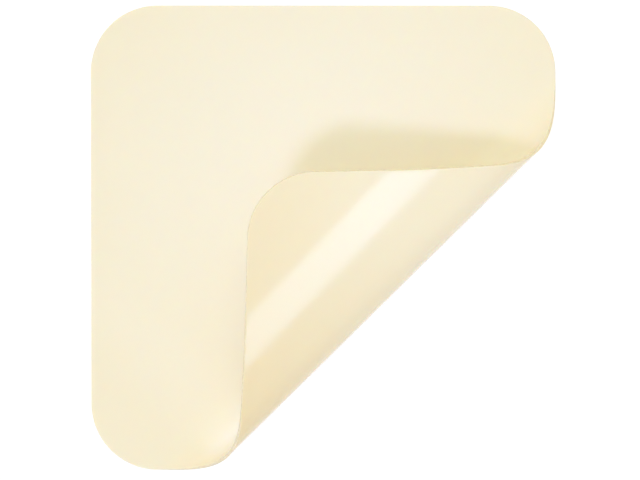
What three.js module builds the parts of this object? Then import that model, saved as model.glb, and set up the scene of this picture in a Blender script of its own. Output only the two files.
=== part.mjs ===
import * as THREE from 'three';
import { mergeVertices } from 'three/addons/utils/BufferGeometryUtils.js';

// A square hydrocolloid dressing with one corner peeled up and rolled back over its face.
// It is one laminated sheet, so it is one solid. Lengths are in millimetres and angles in degrees.

// Driving dimensions of the flat sheet
const side = 100;
const cornerRadius = 14.3;
const thickness = 0.7;

// Driving dimensions of the roll. A sheet bends only on straight parallel lines, and these run
// across the rolled corner. From the flat part to the tip the sheet lifts, turns tightest over
// the crown and sweeps slowly into a flap that stays flat.
const bendStart = 10; // from the middle of the square to the first bend line
const skewAngle = 0.4; // of the bend lines, from square with the diagonal
const liftRadius = 9;
const liftAngle = 35;
const crownRadius = 8.5;
const crownAngle = 115;
const sweepRadius = 90;
const sweepAngle = 12;

// Facets
const cornerSteps = 24; // on each rounded corner
const anglePerStep = 2.5; // on the lift and the crown
const sweepSteps = 12;

const bends = [
  { radius: liftRadius, angle: liftAngle, steps: Math.ceil(liftAngle / anglePerStep) },
  { radius: crownRadius, angle: crownAngle, steps: Math.ceil(crownAngle / anglePerStep) },
  { radius: sweepRadius, angle: sweepAngle, steps: sweepSteps },
];

const dressingSkin = new THREE.MeshStandardMaterial({ color: 0xf9f1da, roughness: 0.45, metalness: 0 });

// The sheet is drawn with its rolled corner along +X and its bend lines along Y, and turned
// at the end so that its sides are square to the frame, with the roll in the +X -Y corner.
const cornerHeading = -45 - skewAngle;

function roundedSquare() {
  const half = side / 2;
  const inner = half - cornerRadius;
  const outline = new THREE.Shape();
  outline.absarc(inner, inner, cornerRadius, 0, Math.PI / 2);
  outline.absarc(-inner, inner, cornerRadius, Math.PI / 2, Math.PI);
  outline.absarc(-inner, -inner, cornerRadius, Math.PI, Math.PI * 1.5);
  outline.absarc(inner, -inner, cornerRadius, Math.PI * 1.5, Math.PI * 2);
  outline.closePath();
  return outline.getPoints(cornerSteps);
}

function turnedOutline() {
  const turn = -THREE.MathUtils.degToRad(cornerHeading);
  const middle = new THREE.Vector2(0, 0);
  return roundedSquare().map((point) => point.rotateAround(middle, turn));
}

// Where each bend starts, along the flat sheet and in the side view, at mid thickness.
function layOutBends() {
  const stretches = [];
  let along = bendStart;
  let heading = 0;
  let point = new THREE.Vector2(bendStart, thickness / 2);
  for (const { radius, angle, steps } of bends) {
    const turn = THREE.MathUtils.degToRad(angle);
    const centre = point.clone().addScaledVector(upperNormal(heading), radius);
    stretches.push({ along, heading, centre, radius, steps, length: radius * turn });
    along += radius * turn;
    heading += turn;
    point = centre.clone().addScaledVector(upperNormal(heading), -radius);
  }
  return { stretches, flap: { along, heading, point } };
}

function upperNormal(heading) {
  return new THREE.Vector2(-Math.sin(heading), Math.cos(heading));
}

// Side view of a point of the sheet: along is its distance from the middle of the flat square,
// and rise is its height over mid thickness, towards the upper face.
function bendPoint({ stretches, flap }, along, rise) {
  if (along <= bendStart) return new THREE.Vector2(along, thickness / 2 + rise);
  if (along >= flap.along) {
    const direction = new THREE.Vector2(Math.cos(flap.heading), Math.sin(flap.heading));
    return flap.point.clone()
      .addScaledVector(direction, along - flap.along)
      .addScaledVector(upperNormal(flap.heading), rise);
  }
  const stretch = stretches.findLast((candidate) => along >= candidate.along);
  const heading = stretch.heading + (along - stretch.along) / stretch.radius;
  return stretch.centre.clone().addScaledVector(upperNormal(heading), rise - stretch.radius);
}

// Distances from the middle at which the sheet gets a line of points: every corner of the
// outline, and every facet line of the bends.
function stationLines(outline, { stretches, flap }) {
  const ends = outline.map((point) => point.x);
  const furthest = Math.max(...ends);
  const folds = stretches.flatMap(({ along, length, steps }) =>
    Array.from({ length: steps }, (_, step) => along + (length * step) / steps));
  const inside = [...folds, flap.along].filter((along) => along < furthest);
  return [...ends, ...inside].sort((a, b) => a - b).filter(isNewStation);
}

function isNewStation(along, index, all) {
  const closest = 0.01;
  return index === 0 || along - all[index - 1] > closest;
}

// The two ends, across the sheet, of the line at this distance.
function chordAt(outline, along) {
  const crossings = [];
  outline.forEach((start, index) => {
    const end = outline[(index + 1) % outline.length];
    const span = end.x - start.x;
    const share = span === 0 ? 0 : (along - start.x) / span;
    if (share >= 0 && share <= 1 && Math.min(start.x, end.x) <= along && along <= Math.max(start.x, end.x)) {
      crossings.push(start.y + (end.y - start.y) * share);
    }
  });
  return { low: Math.min(...crossings), high: Math.max(...crossings) };
}

// Four points round the sheet's section at one station: upper face, then lower face.
function sectionAt(outline, layout, along) {
  const { low, high } = chordAt(outline, along);
  const upper = bendPoint(layout, along, thickness / 2);
  const lower = bendPoint(layout, along, -thickness / 2);
  return [
    new THREE.Vector3(upper.x, low, upper.y),
    new THREE.Vector3(upper.x, high, upper.y),
    new THREE.Vector3(lower.x, high, lower.y),
    new THREE.Vector3(lower.x, low, lower.y),
  ];
}

// Skins the sections from one tip of the sheet to the other and closes both tips.
function skinSections(sections) {
  const corners = [];
  const addQuad = (a, b, c, d) => corners.push(a, b, c, a, c, d);
  for (let index = 1; index < sections.length; index += 1) {
    const before = sections[index - 1];
    const after = sections[index];
    before.forEach((point, place) => {
      const next = (place + 1) % before.length;
      addQuad(point, after[place], after[next], before[next]);
    });
  }
  addQuad(...sections.at(0));
  addQuad(...sections.at(-1).toReversed());
  const soup = new THREE.BufferGeometry().setFromPoints(corners);
  return dropEmptyFaces(mergeVertices(soup));
}

// A tip narrows to a single point, so the faces that meet there with no width are left out.
function dropEmptyFaces(geometry) {
  const index = geometry.getIndex().array;
  const kept = [];
  for (let face = 0; face < index.length; face += 3) {
    const [a, b, c] = index.slice(face, face + 3);
    if (a !== b && b !== c && c !== a) kept.push(a, b, c);
  }
  geometry.setIndex(kept);
  geometry.computeVertexNormals();
  return geometry;
}

function rolledSheet() {
  const outline = turnedOutline();
  const layout = layOutBends();
  const stations = stationLines(outline, layout);
  return skinSections(stations.map((along) => sectionAt(outline, layout, along)));
}

const dressing = new THREE.Mesh(rolledSheet(), dressingSkin);
dressing.name = 'dressing_sheet';
dressing.rotation.z = THREE.MathUtils.degToRad(cornerHeading);

const model = new THREE.Group();
model.add(dressing);

export default model;
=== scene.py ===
import math

import bpy
from mathutils import Matrix, Quaternion, Vector


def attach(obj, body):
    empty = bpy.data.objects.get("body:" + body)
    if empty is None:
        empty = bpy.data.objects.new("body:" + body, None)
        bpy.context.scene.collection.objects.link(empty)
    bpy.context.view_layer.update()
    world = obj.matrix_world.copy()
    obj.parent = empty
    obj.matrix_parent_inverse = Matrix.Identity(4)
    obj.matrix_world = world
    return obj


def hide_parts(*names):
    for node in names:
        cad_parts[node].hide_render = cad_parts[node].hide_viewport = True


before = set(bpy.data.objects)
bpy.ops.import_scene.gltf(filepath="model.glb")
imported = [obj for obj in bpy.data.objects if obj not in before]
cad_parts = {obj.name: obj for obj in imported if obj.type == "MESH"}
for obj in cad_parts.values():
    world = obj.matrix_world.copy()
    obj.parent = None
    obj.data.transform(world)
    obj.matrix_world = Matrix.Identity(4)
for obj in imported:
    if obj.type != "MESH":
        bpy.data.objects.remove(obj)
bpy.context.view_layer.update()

mm = 0.001

# The sheet is cut flat and square to the frame, then rolled. "Along" is a distance from the
# square's middle towards the rolled corner, and "across" runs beside the bend lines.
sheet = {
    "side": 100 * mm,
    "cornerRadius": 14.3 * mm,
    "thickness": 0.7 * mm,
    "cornerHeading": -45.4,  # degrees round from +X
    "bendStart": 10 * mm,
    "bends": {
        "lift": {"radius": 9 * mm, "turn": 35, "facets": 24},
        "crown": {"radius": 8.5 * mm, "turn": 115, "facets": 78},
        "sweep": {"radius": 90 * mm, "turn": 12, "facets": 24},
    },
    "cornerSegments": 40,
    "edgeLoop": 0.45 * mm,  # a narrow loop beside the cut keeps the shading of the faces flat
    "edgeRounding": 0.2 * mm,
    "roundingSegments": 3,
    "sharpTurn": 60,  # degrees; only the cut's own corners turn by more than this
    "gridStep": 2.5 * mm,
}


def upperNormal(heading):
    return Vector((-math.sin(heading), math.cos(heading)))


def layOutBends():
    stretches = []
    along, heading = sheet["bendStart"], 0.0
    point = Vector((along, sheet["thickness"] / 2))
    for bend in sheet["bends"].values():
        radius, turn = bend["radius"], math.radians(bend["turn"])
        centre = point + upperNormal(heading) * radius
        place = {"along": along, "heading": heading, "centre": centre, "length": radius * turn}
        stretches.append({**bend, **place})
        along += radius * turn
        heading += turn
        point = centre - upperNormal(heading) * radius
    return stretches, {"along": along, "heading": heading, "point": point}


stretches, flap = layOutBends()


def stretchAt(along):
    return [stretch for stretch in stretches if along >= stretch["along"]][-1]


def headingAt(along):
    if along <= sheet["bendStart"]:
        return 0.0
    if along >= flap["along"]:
        return flap["heading"]
    stretch = stretchAt(along)
    return stretch["heading"] + (along - stretch["along"]) / stretch["radius"]


def sideViewAt(along):  # distance from the middle and height, at mid thickness
    if along <= sheet["bendStart"]:
        return Vector((along, sheet["thickness"] / 2))
    if along >= flap["along"]:
        heading = flap["heading"]
        return flap["point"] + Vector((math.cos(heading), math.sin(heading))) * (along - flap["along"])
    stretch = stretchAt(along)
    return stretch["centre"] - upperNormal(headingAt(along)) * stretch["radius"]


cornerHeading = math.radians(sheet["cornerHeading"])
alongWay = Vector((math.cos(cornerHeading), math.sin(cornerHeading), 0))
acrossWay = Vector((-math.sin(cornerHeading), math.cos(cornerHeading), 0))


def rolledPoint(along, across):
    side = sideViewAt(along)
    return alongWay * side.x + acrossWay * across + Vector((0, 0, side.y))


def selectWholeMesh():
    bpy.ops.mesh.select_all(action="SELECT")


def cutLine(way, distance):
    selectWholeMesh()
    bpy.ops.mesh.bisect(plane_co=way * distance, plane_no=way)


def gridLines(first, last, step):
    count = max(1, round((last - first) / step))
    return [first + (last - first) * index / count for index in range(1, count)]


def alongLines():
    reach = sheet["side"] / math.sqrt(2)
    lines = gridLines(-reach, sheet["bendStart"], sheet["gridStep"])
    for stretch in stretches:
        facet = stretch["length"] / stretch["facets"]
        lines += [stretch["along"] + facet * index for index in range(stretch["facets"])]
    return lines + [flap["along"]] + gridLines(flap["along"], reach, sheet["gridStep"])


def acrossLines():
    reach = sheet["side"] / math.sqrt(2)
    return gridLines(-reach, reach, sheet["gridStep"])


def startPiece(name, size):
    for item in list(bpy.context.selected_objects):
        item.select_set(False)
    bpy.ops.mesh.primitive_plane_add(size=size, location=(0, 0, 0))
    piece = bpy.context.object
    piece.name = piece.data.name = name
    return piece


def cutBlank():
    piece = startPiece("dressingSheet", sheet["side"])
    bpy.ops.object.mode_set(mode="EDIT")
    selectWholeMesh()
    bpy.ops.mesh.bevel(offset=sheet["cornerRadius"], segments=sheet["cornerSegments"], affect="VERTICES")
    selectWholeMesh()
    bpy.ops.mesh.inset(thickness=sheet["edgeLoop"])
    for distance in alongLines():
        cutLine(alongWay, distance)
    for distance in acrossLines():
        cutLine(acrossWay, distance)
    bpy.ops.object.mode_set(mode="OBJECT")
    return piece


def layFlatPattern(mesh):  # the UV map keeps each point's place on the flat square
    pattern = mesh.uv_layers.get("flatSheet") or mesh.uv_layers.new(name="flatSheet")
    mesh.uv_layers.active = pattern
    for loop in mesh.loops:
        place = mesh.vertices[loop.vertex_index].co
        pattern.data[loop.index].uv = (place.x / sheet["side"] + 0.5, place.y / sheet["side"] + 0.5)


def rollCorner(mesh):
    for vertex in mesh.vertices:
        vertex.co = rolledPoint(vertex.co.dot(alongWay), vertex.co.dot(acrossWay))
    mesh.update()


def giveThickness(piece, gelSlot, edgeSlot):
    wall = piece.modifiers.new("wall", "SOLIDIFY")
    wall.thickness = sheet["thickness"]
    wall.offset = 0
    wall.use_quality_normals = True
    wall.material_offset = gelSlot
    wall.material_offset_rim = edgeSlot
    bpy.ops.object.modifier_apply(modifier=wall.name)
    rounding = piece.modifiers.new("rounding", "BEVEL")
    rounding.width = sheet["edgeRounding"]
    rounding.segments = sheet["roundingSegments"]
    rounding.material = edgeSlot
    rounding.limit_method = "ANGLE"
    rounding.angle_limit = math.radians(sheet["sharpTurn"])
    bpy.ops.object.modifier_apply(modifier=rounding.name)


def newMaterial(name):
    material = bpy.data.materials.new(name)
    material.use_nodes = True
    tree = material.node_tree
    tree.nodes.clear()
    output = tree.nodes.new("ShaderNodeOutputMaterial")
    return material, tree, output


def addNode(tree, kind, values=None, **settings):
    node = tree.nodes.new(kind)
    for name, value in settings.items():
        setattr(node, name, value)
    for name, value in (values or {}).items():
        node.inputs[name].default_value = value
    return node


def mixColours(tree, factor, first, second):
    mix = addNode(tree, "ShaderNodeMix", data_type="RGBA")
    tree.links.new(factor, mix.inputs["Factor"])
    for socket, colour in ((mix.inputs["A"], first), (mix.inputs["B"], second)):
        if isinstance(colour, tuple):
            socket.default_value = (*colour, 1)
        else:
            tree.links.new(colour, socket)
    return mix.outputs["Result"]


def paintedLightAndShade(tree, pattern, settings):  # painted light and shade: 1 at the palest point of the flat sheet, 0 far from it
    away = addNode(tree, "ShaderNodeVectorMath", {1: (*settings["paintedLightPoint"], 0)}, operation="DISTANCE")
    tree.links.new(pattern, away.inputs[0])
    cloud = noiseOn(tree, pattern, settings["cloudScale"])
    drift = addNode(tree, "ShaderNodeMath", {1: settings["cloudDrift"]}, operation="MULTIPLY_ADD")
    tree.links.new(cloud, drift.inputs[0])
    tree.links.new(away.outputs["Value"], drift.inputs[2])
    return spread(tree, drift.outputs[0], *settings["paintedLightFade"], 1, 0)


def noiseOn(tree, source, scale, detail=3.0):
    noise = addNode(tree, "ShaderNodeTexNoise", {"Scale": scale, "Detail": detail})
    tree.links.new(source, noise.inputs["Vector"])
    return noise.outputs["Fac"]


def spread(tree, value, low, high, newLow, newHigh):
    remap = addNode(tree, "ShaderNodeMapRange",
                    {"From Min": low, "From Max": high, "To Min": newLow, "To Max": newHigh})
    tree.links.new(value, remap.inputs["Value"])
    return remap.outputs["Result"]


# The film on the face and the gel underneath, each with painted light and shade: palest round one point
# of the flat sheet, deeper away from it.
filmFace = {
    # pale and deep: painted light round the flap, painted shade towards the sheet's edges
    "pale": (0.970, 0.898, 0.785),
    "deep": (0.918, 0.832, 0.652),
    "paintedLightPoint": (0.53, 0.575),  # on the flat sheet, in shares of its side
    "paintedLightFade": (0.21, 0.66),
    "cloudScale": 3,
    "cloudDrift": 0.05,
    "roughness": (0.40, 0.50),
    "grainScale": 900,  # on the object, in cells per metre
    "grainHeight": 0.004 * mm,
    "grainStrength": 0.5,
    "sheen": 0,
    "sheenRoughness": 0.3,
}

gelFace = {
    # pale and deep: painted light on the flap, painted shade towards the roll's lower left end
    "pale": (0.922, 0.854, 0.690),
    "deep": (0.850, 0.740, 0.480),
    "paintedLightPoint": (1.0, 0.36),
    "paintedLightFade": (0.15, 0.76),
    "cloudScale": 3,
    "cloudDrift": 0.05,
    "roughness": (0.08, 0.12),
    "grainScale": 160,
    "grainHeight": 0.003 * mm,
    "grainStrength": 0.4,
    "sheen": 0.6,
    "sheenRoughness": 0.3,
}

# Light goes a little way into the gel, red furthest.
translucency = {
    "Subsurface Weight": 0.5,
    "Subsurface Radius": (1.0, 0.75, 0.45),
    "Subsurface Scale": mm,
}

grainMiddle = (0.3, 0.7)  # between these the noise goes from the smoother to the rougher value


def faceMaterial(name, settings):
    material, tree, output = newMaterial(name)
    coordinates = addNode(tree, "ShaderNodeTexCoord")
    grain = noiseOn(tree, coordinates.outputs["Object"], settings["grainScale"], 2)
    surface = addNode(tree, "ShaderNodeBsdfPrincipled", {
        "Sheen Weight": settings["sheen"],
        "Sheen Roughness": settings["sheenRoughness"],
        **translucency,
    })
    # painted light and shade on the face, from pale to deep
    paintedLightShare = paintedLightAndShade(tree, coordinates.outputs["UV"], settings)
    shade = mixColours(tree, paintedLightShare, settings["deep"], settings["pale"])
    tree.links.new(shade, surface.inputs["Base Color"])
    tree.links.new(spread(tree, grain, *grainMiddle, *settings["roughness"]), surface.inputs["Roughness"])
    height = {"Strength": settings["grainStrength"], "Distance": settings["grainHeight"]}
    bump = addNode(tree, "ShaderNodeBump", height)
    tree.links.new(grain, bump.inputs["Height"])
    tree.links.new(bump.outputs["Normal"], surface.inputs["Normal"])
    tree.links.new(surface.outputs["BSDF"], output.inputs["Surface"])
    return material


cutEdge = {
    "pale": (0.88, 0.80, 0.62),
    "deep": (0.80, 0.71, 0.53),
    "grainScale": 1400,
    "grainMiddle": (0.35, 0.65),
    "roughness": 0.5,
}


def cutEdgeMaterial():
    material, tree, output = newMaterial("cutEdge")
    coordinates = addNode(tree, "ShaderNodeTexCoord")
    grain = noiseOn(tree, coordinates.outputs["Object"], cutEdge["grainScale"])
    surface = addNode(tree, "ShaderNodeBsdfPrincipled", {
        "Roughness": cutEdge["roughness"],
        **translucency,
    })
    light = spread(tree, grain, *cutEdge["grainMiddle"], 0, 1)
    shade = mixColours(tree, light, cutEdge["deep"], cutEdge["pale"])
    tree.links.new(shade, surface.inputs["Base Color"])
    tree.links.new(surface.outputs["BSDF"], output.inputs["Surface"])
    return material


def makeDressing():
    piece = cutBlank()
    layFlatPattern(piece.data)
    rollCorner(piece.data)
    piece.data.materials.append(faceMaterial("filmFace", filmFace))
    piece.data.materials.append(faceMaterial("gelFace", gelFace))
    piece.data.materials.append(cutEdgeMaterial())
    giveThickness(piece, gelSlot=1, edgeSlot=2)
    bpy.ops.object.shade_smooth()
    print("dressing sheet:", len(piece.data.polygons), "faces")
    return piece


dressing = makeDressing()
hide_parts("dressing_sheet")
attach(dressing, "root")


def backdropRays(tree):  # 1 for what the camera sees, straight, mirrored or through glass
    path = addNode(tree, "ShaderNodeLightPath")
    straightOrMirrored = addNode(tree, "ShaderNodeMath", operation="MAXIMUM")
    seenAnyWay = addNode(tree, "ShaderNodeMath", operation="MAXIMUM")
    tree.links.new(path.outputs["Is Camera Ray"], straightOrMirrored.inputs[0])
    tree.links.new(path.outputs["Is Glossy Ray"], straightOrMirrored.inputs[1])
    tree.links.new(straightOrMirrored.outputs[0], seenAnyWay.inputs[0])
    tree.links.new(path.outputs["Is Transmission Ray"], seenAnyWay.inputs[1])
    return seenAnyWay.outputs[0]


# The camera sees the table's white glow with a faint shadow on it, and the sheet gets only the
# light that bounces off it.
table = {
    "size": 6,
    "drop": 0.02 * mm,  # just under the sheet, so that the two don't share a plane
    "bounce": (0.95, 0.89, 0.76),
    "glow": 0.93,
    "shadowed": 0.16,
}


def makeTable():
    top = startPiece("tableTop", table["size"])
    top.location.z = -table["drop"]
    bpy.ops.object.transform_apply(location=True, rotation=True, scale=True)
    material, tree, output = newMaterial("whiteTable")
    bounce = addNode(tree, "ShaderNodeBsdfDiffuse", {"Color": (*table["bounce"], 1)})
    shadowGrey = (table["shadowed"],) * 3
    shadowed = addNode(tree, "ShaderNodeBsdfDiffuse", {"Color": (*shadowGrey, 1)})
    glow = addNode(tree, "ShaderNodeEmission", {"Strength": table["glow"]})
    seen = addNode(tree, "ShaderNodeAddShader")
    mix = addNode(tree, "ShaderNodeMixShader")
    tree.links.new(glow.outputs[0], seen.inputs[0])
    tree.links.new(shadowed.outputs[0], seen.inputs[1])
    tree.links.new(backdropRays(tree), mix.inputs["Fac"])
    tree.links.new(bounce.outputs[0], mix.inputs[1])
    tree.links.new(seen.outputs[0], mix.inputs[2])
    tree.links.new(mix.outputs[0], output.inputs["Surface"])
    top.data.materials.append(material)
    print("table")


makeTable()

room = {
    "colour": (1.0, 0.99, 0.97),
    "strength": 0.67,
}


def makeRoom():
    world = bpy.data.worlds.new("room")
    bpy.context.scene.world = world
    world.use_nodes = True
    tree = world.node_tree
    tree.nodes.clear()
    output = addNode(tree, "ShaderNodeOutputWorld")
    around = {"Color": (*room["colour"], 1), "Strength": room["strength"]}
    lit = addNode(tree, "ShaderNodeBackground", around)
    seen = addNode(tree, "ShaderNodeBackground", {"Color": (1, 1, 1, 1), "Strength": 1})
    mix = addNode(tree, "ShaderNodeMixShader")
    tree.links.new(backdropRays(tree), mix.inputs["Fac"])
    tree.links.new(lit.outputs[0], mix.inputs[1])
    tree.links.new(seen.outputs[0], mix.inputs[2])
    tree.links.new(mix.outputs[0], output.inputs["Surface"])
    print("room")


makeRoom()

view = {
    "mmPerPixel": 0.21522,
    "pictureWidth": 640,
    "squareRightBy": 3.05,  # pixels from the picture's middle to the square's
    "squareUpBy": 1.9,
    "distance": 3.0,
    "tilt": 3.8,  # degrees from straight down, towards the +X +Y corner
    "sensor": 36,
    "clipEnd": 100,
}


def makeCamera():
    scale = view["mmPerPixel"] * mm
    tiltAxis = Vector((-1, 1, 0)).normalized()
    turn = Quaternion(tiltAxis, math.radians(view["tilt"]))
    aim = Vector((-view["squareRightBy"] * scale, -view["squareUpBy"] * scale, sheet["thickness"]))
    lens = bpy.data.cameras.new("camera")
    lens.sensor_width = view["sensor"]
    lens.lens = view["sensor"] * view["distance"] / (view["pictureWidth"] * scale)
    lens.clip_end = view["clipEnd"]
    camera = bpy.data.objects.new("camera", lens)
    bpy.context.collection.objects.link(camera)
    camera.rotation_euler = turn.to_euler()
    towardsCamera = turn @ Vector((0, 0, 1))
    camera.location = aim + towardsCamera * view["distance"]
    bpy.context.scene.camera = camera
    print("camera, lens", round(lens.lens))
    return towardsCamera


towardsCamera = makeCamera()

# Each lamp's height is in degrees above the table, "from" is in degrees round from +X, and size
# is in degrees across.
keyLight = {"strength": 0.76, "height": 66, "from": 231, "size": 10, "colour": (0.58, 0.64, 1)}
fillLight = {"strength": 0.75, "height": 62, "from": 95, "size": 35, "colour": (1, 0.895, 0.38)}
rimLight = {"strength": 0.1, "height": 15, "from": 315, "size": 50, "colour": (1, 0.88, 0.66)}

# A narrow beam that grazes the sheet where it lifts at the roll's lower left end.
lobeBeam = {
    "power": 2.5,
    "height": 6,
    "from": 135,
    "distance": 0.5,
    "width": 2.2,  # of the cone, in degrees
    "lamp": 0.003,
    "colour": (0.3, 0.5, 1),
    "along": 15.5 * mm,  # the place on the sheet that it is aimed at
    "across": -42.5 * mm,
}

# Soft boxes in a row, so placed that the camera sees them as the band of gloss on the flap.
glossBoxes = {
    "radiance": 4.6,
    "colour": (0.45, 0.65, 1.0),
    "bandAlong": 44.6 * mm,  # where on the sheet the middle of the band lies
    "slant": 0.02,  # of the band, from the bend lines
    "count": 7,
    "reach": 50 * mm,  # from the middle of the band to the last box's part of it
    "distance": 0.6,
    "width": 0.116,
}


def aimAt(lamp, place, target, longWay):
    inwards = (place - target).normalized()
    lengthwise = (longWay - inwards * longWay.dot(inwards)).normalized()
    widthwise = lengthwise.cross(inwards)
    turn = Matrix((widthwise, lengthwise, inwards)).transposed()
    lamp.matrix_world = Matrix.Translation(place) @ turn.to_4x4()


def addLamp(name, kind):
    data = bpy.data.lights.new(name, kind)
    lamp = bpy.data.objects.new(name, data)
    bpy.context.collection.objects.link(lamp)
    lamp.visible_camera = False
    return lamp


def wayTo(settings):
    height, around = math.radians(settings["height"]), math.radians(settings["from"])
    level = Vector((math.cos(around), math.sin(around), 0))
    return level * math.cos(height) + Vector((0, 0, 1)) * math.sin(height)


def makeSun(name, settings):
    lamp = addLamp(name, "SUN")
    lamp.data.energy = settings["strength"]
    lamp.data.color = settings["colour"]
    lamp.data.angle = math.radians(settings["size"])
    aimAt(lamp, wayTo(settings), Vector((0, 0, 0)), Vector((0, 0, 1)))


def makeLobeBeam():
    lamp = addLamp("lobeBeam", "SPOT")
    lamp.data.energy = lobeBeam["power"]
    lamp.data.color = lobeBeam["colour"]
    lamp.data.spot_size = math.radians(lobeBeam["width"])
    lamp.data.spot_blend = 1
    lamp.data.shadow_soft_size = lobeBeam["lamp"]
    target = rolledPoint(lobeBeam["along"], lobeBeam["across"])
    aimAt(lamp, target + wayTo(lobeBeam) * lobeBeam["distance"], target, Vector((0, 0, 1)))


def makeGlossBoxes():
    step = 2 * glossBoxes["reach"] / (glossBoxes["count"] - 1)
    for index in range(glossBoxes["count"]):
        across = -glossBoxes["reach"] + step * index
        along = glossBoxes["bandAlong"] + glossBoxes["slant"] * across
        heading = headingAt(along)
        outwards = alongWay * math.sin(heading) - Vector((0, 0, 1)) * math.cos(heading)
        mirrored = outwards * 2 * outwards.dot(towardsCamera) - towardsCamera
        band = rolledPoint(along, across)
        lamp = addLamp("glossBox", "AREA")
        lamp.data.shape = "RECTANGLE"
        lamp.data.size = glossBoxes["width"]
        lamp.data.size_y = step
        lamp.data.energy = glossBoxes["radiance"] * math.pi * glossBoxes["width"] * step
        lamp.data.color = glossBoxes["colour"]
        lamp.visible_diffuse = False
        aimAt(lamp, band + mirrored * glossBoxes["distance"], band, acrossWay)


makeSun("keyLight", keyLight)
makeSun("fillLight", fillLight)
makeSun("rimLight", rimLight)
makeLobeBeam()
makeGlossBoxes()
print("lights")

bpy.context.scene.view_settings.view_transform = "Standard"
